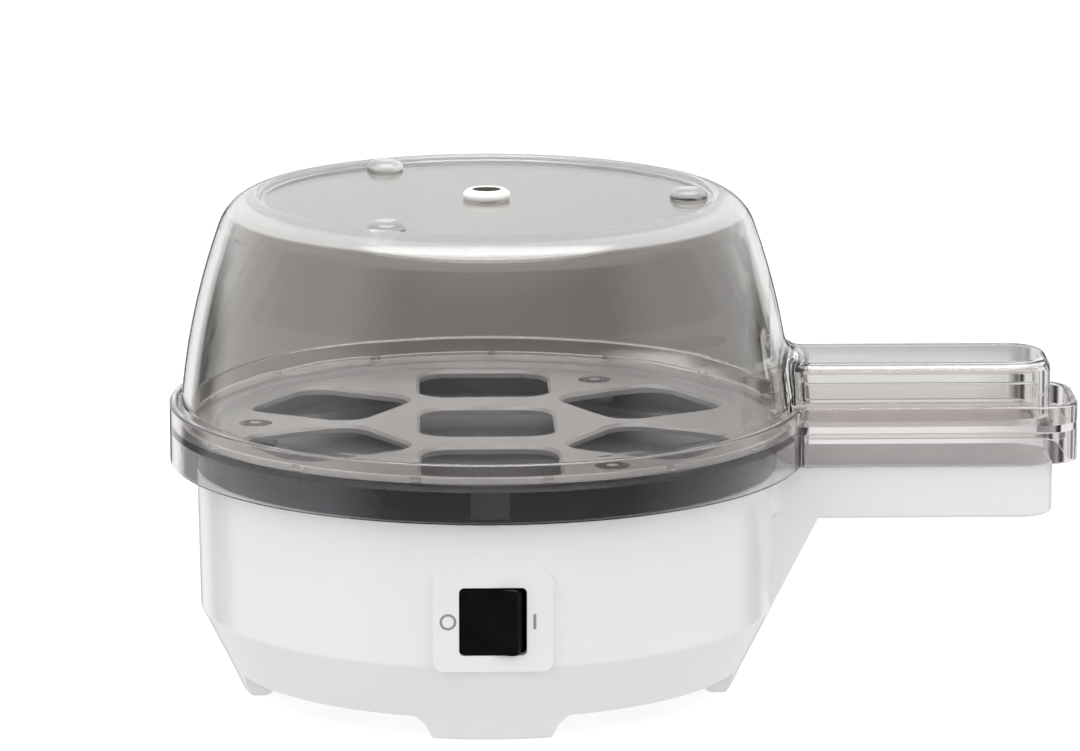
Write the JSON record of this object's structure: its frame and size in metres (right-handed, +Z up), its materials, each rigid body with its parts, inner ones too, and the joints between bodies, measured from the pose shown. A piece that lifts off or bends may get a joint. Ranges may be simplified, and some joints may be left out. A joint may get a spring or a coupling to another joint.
{
  "type": "electric egg cooker",
  "caption": "Round countertop egg cooker: white base with rocker switch and side arm, lift-off clear egg tray and clear lid, each with a handle, and a steam vent.",
  "frame": {"origin": "axis of the round body, at the height of the surface it stands on", "axes": "+X along the handles, +Z up, -Y the front with the switch"},
  "size_m": [0.2346, 0.1642, 0.1294],
  "materials": {
    "housing": "gloss",
    "base_pan": "gloss",
    "arm_shell": "gloss",
    "top_deck": "gloss",
    "bowl_seal": "matte",
    "heating_bowl": "dark non-stick coating",
    "case_screws": "zinc plated",
    "heating_element": "satin",
    "element_insulators": "ceramic",
    "element_pins": "satin",
    "element_clamp": "satin",
    "clamp_nuts": "zinc plated",
    "thermostat_cap": "satin",
    "thermostat_body": "ceramic",
    "thermostat_terminals": "satin",
    "thermostat_bracket": "satin",
    "bracket_screws": "zinc plated",
    "thermal_fuse": "satin",
    "fuse_sleeve": "braided sleeve",
    "fuse_clip": "satin",
    "switch_body": "matte",
    "switch_screws": "zinc plated",
    "switch_rocker": "gloss",
    "detent_plunger": "matte",
    "plunger_spring": "satin",
    "contact_arm": "satin",
    "switch_terminals": "satin",
    "cord_grommet": "matte",
    "cord_clamp": "matte",
    "cord_clamp_screws": "zinc plated",
    "terminal_block": "ceramic",
    "terminal_screws": "satin",
    "lead_live": "silicone insulation",
    "lead_switched": "silicone insulation",
    "lead_fuse": "silicone insulation",
    "lead_element": "silicone insulation",
    "lead_neutral": "silicone insulation",
    "lead_earth": "silicone insulation",
    "egg_tray": "clear, lightly smoked",
    "lid": "clear, smoked",
    "steam_vent": "gloss"
  },
  "bodies": {
    "base": {"housing": "housing", "base_pan": "base_pan", "arm_shell": "arm_shell", "top_deck": "top_deck", "bowl_seal": "bowl_seal", "heating_bowl": "heating_bowl", "case_screws": "case_screws", "heating_element": "heating_element", "element_insulators": "element_insulators", "element_pins": "element_pins", "element_clamp": "element_clamp", "clamp_nuts": "clamp_nuts", "thermostat_cap": "thermostat_cap", "thermostat_body": "thermostat_body", "thermostat_terminals": "thermostat_terminals", "thermostat_bracket": "thermostat_bracket", "bracket_screws": "bracket_screws", "thermal_fuse": "thermal_fuse", "fuse_sleeve": "fuse_sleeve", "fuse_clip": "fuse_clip", "switch_body": "switch_body", "switch_screws": "switch_screws", "switch_terminals": "switch_terminals", "cord_grommet": "cord_grommet", "cord_clamp": "cord_clamp", "cord_clamp_screws": "cord_clamp_screws", "terminal_block": "terminal_block", "terminal_screws": "terminal_screws", "lead_live": "lead_live", "lead_switched": "lead_switched", "lead_fuse": "lead_fuse", "lead_element": "lead_element", "lead_neutral": "lead_neutral", "lead_earth": "lead_earth"},
    "rocker": {"switch_rocker": "switch_rocker", "detent_plunger": "detent_plunger", "plunger_spring": "plunger_spring"},
    "contact": {"contact_arm": "contact_arm"},
    "tray": {"egg_tray": "egg_tray"},
    "lid": {"lid": "lid", "steam_vent": "steam_vent"}
  },
  "joints": [
    {"name": "tray_lift", "type": "slide", "parent": "base", "child": "tray", "axis": [0, 0, 1], "range_m": [0, 0.12]},
    {"name": "lid_lift", "type": "slide", "parent": "tray", "child": "lid", "axis": [0, 0, 1], "range_m": [0, 0.12]},
    {"name": "rocker_tilt", "type": "hinge", "parent": "base", "child": "rocker", "pos_m": [0, -0.0699, 0.0334], "axis": [0, 0, 1], "range_deg": [0, 16]},
    {"name": "contact_tilt", "type": "hinge", "parent": "base", "child": "contact", "pos_m": [0, -0.0613, 0.0334], "axis": [0, 0, 1], "range_deg": [-12, 0]}
  ],
  "couplings": [
    {"joint": "contact_tilt", "follows": "rocker_tilt", "ratio": -0.75}
  ]
}
